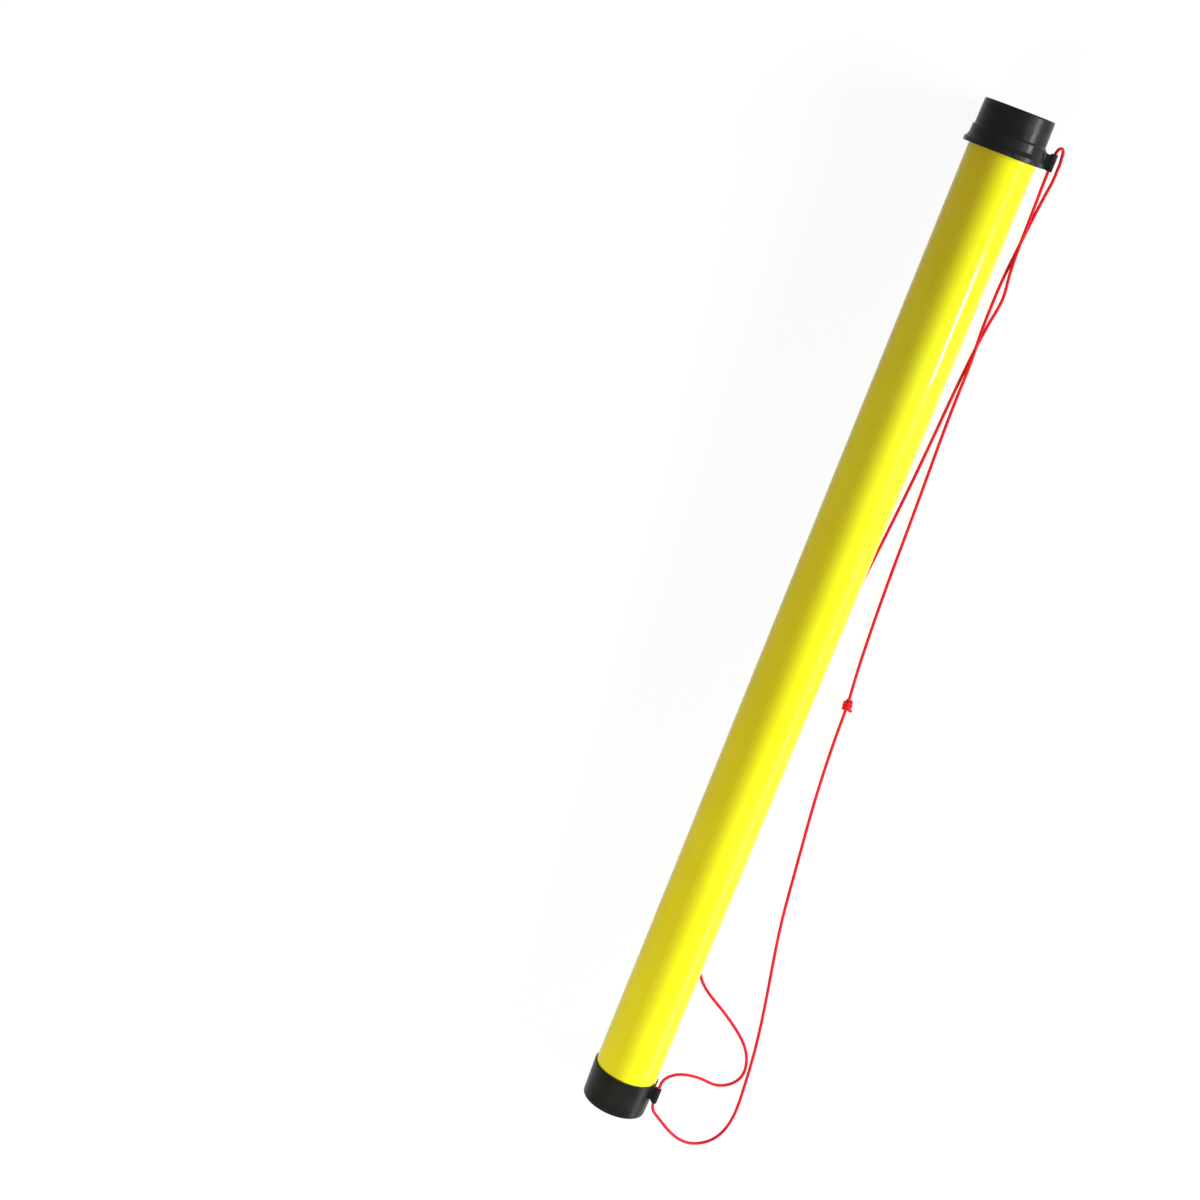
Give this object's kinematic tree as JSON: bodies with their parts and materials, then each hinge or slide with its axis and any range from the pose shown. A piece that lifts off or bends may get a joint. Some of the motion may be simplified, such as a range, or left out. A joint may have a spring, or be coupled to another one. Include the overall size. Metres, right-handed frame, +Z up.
{
  "type": "tennis ball pickup tube",
  "caption": "Long plastic tube that picks up and stores balls, with a one-way mouth cap, a pull-off lid and a carrying cord.",
  "frame": {"origin": "middle of the bottom of the box round the tube and its caps, on the surface it lies on", "axes": "+Y along the tube towards the lid, -Y towards the mouth, +Z up, +X on the side of the lid's cord lug"},
  "size_m": [0.1815, 1.1993, 0.0854],
  "materials": {
    "yellow_tube": "high gloss, opaque lemon yellow",
    "black_cap": "satin moulded",
    "soft_catch": "dull",
    "red_cord": "plaited, dull"
  },
  "bodies": {
    "tube": {"tube": "yellow_tube", "mouth_cap": "black_cap", "catch_ring": "soft_catch", "cord_plain_strand": "red_cord", "cord_upper_strand": "red_cord", "cord_lower_strand": "red_cord", "cord_knot": "red_cord"},
    "lid": {"lid": "black_cap"},
    "tongue_1": {"catch_tongue_1": "soft_catch"},
    "tongue_2": {"catch_tongue_2": "soft_catch"},
    "tongue_3": {"catch_tongue_3": "soft_catch"},
    "tongue_4": {"catch_tongue_4": "soft_catch"},
    "tongue_5": {"catch_tongue_5": "soft_catch"},
    "tongue_6": {"catch_tongue_6": "soft_catch"},
    "tongue_7": {"catch_tongue_7": "soft_catch"},
    "tongue_8": {"catch_tongue_8": "soft_catch"}
  },
  "joints": [
    {"name": "lid_slide", "type": "slide", "parent": "tube", "child": "lid", "axis": [0, 1, 0], "range_m": [0, 0.06], "deforming": ["cord_plain_strand", "cord_upper_strand"]},
    {"name": "tongue_1_bend", "type": "hinge", "parent": "tube", "child": "tongue_1", "pos_m": [0.03, -0.57435, 0.04271], "axis": [0, 0, -1], "range_deg": [0, 30], "stiffness_Nm_per_rad": 0.006},
    {"name": "tongue_2_bend", "type": "hinge", "parent": "tube", "child": "tongue_2", "pos_m": [0.01977, -0.57435, 0.018], "axis": [-0.7071, 0, -0.7071], "range_deg": [0, 30], "stiffness_Nm_per_rad": 0.006},
    {"name": "tongue_3_bend", "type": "hinge", "parent": "tube", "child": "tongue_3", "pos_m": [-0.00495, -0.57435, 0.00776], "axis": [-1, 0, 0], "range_deg": [0, 30], "stiffness_Nm_per_rad": 0.006},
    {"name": "tongue_4_bend", "type": "hinge", "parent": "tube", "child": "tongue_4", "pos_m": [-0.02966, -0.57435, 0.018], "axis": [-0.7071, 0, 0.7071], "range_deg": [0, 30], "stiffness_Nm_per_rad": 0.006},
    {"name": "tongue_5_bend", "type": "hinge", "parent": "tube", "child": "tongue_5", "pos_m": [-0.0399, -0.57435, 0.04271], "axis": [0, 0, 1], "range_deg": [0, 30], "stiffness_Nm_per_rad": 0.006},
    {"name": "tongue_6_bend", "type": "hinge", "parent": "tube", "child": "tongue_6", "pos_m": [-0.02966, -0.57435, 0.06742], "axis": [0.7071, 0, 0.7071], "range_deg": [0, 30], "stiffness_Nm_per_rad": 0.006},
    {"name": "tongue_7_bend", "type": "hinge", "parent": "tube", "child": "tongue_7", "pos_m": [-0.00495, -0.57435, 0.07766], "axis": [1, 0, 0], "range_deg": [0, 30], "stiffness_Nm_per_rad": 0.006},
    {"name": "tongue_8_bend", "type": "hinge", "parent": "tube", "child": "tongue_8", "pos_m": [0.01977, -0.57435, 0.06742], "axis": [0.7071, 0, -0.7071], "range_deg": [0, 30], "stiffness_Nm_per_rad": 0.006}
  ],
  "couplings": [
    {"joint": "tongue_2_bend", "follows": "tongue_1_bend", "ratio": 1},
    {"joint": "tongue_3_bend", "follows": "tongue_1_bend", "ratio": 1},
    {"joint": "tongue_4_bend", "follows": "tongue_1_bend", "ratio": 1},
    {"joint": "tongue_5_bend", "follows": "tongue_1_bend", "ratio": 1},
    {"joint": "tongue_6_bend", "follows": "tongue_1_bend", "ratio": 1},
    {"joint": "tongue_7_bend", "follows": "tongue_1_bend", "ratio": 1},
    {"joint": "tongue_8_bend", "follows": "tongue_1_bend", "ratio": 1}
  ]
}
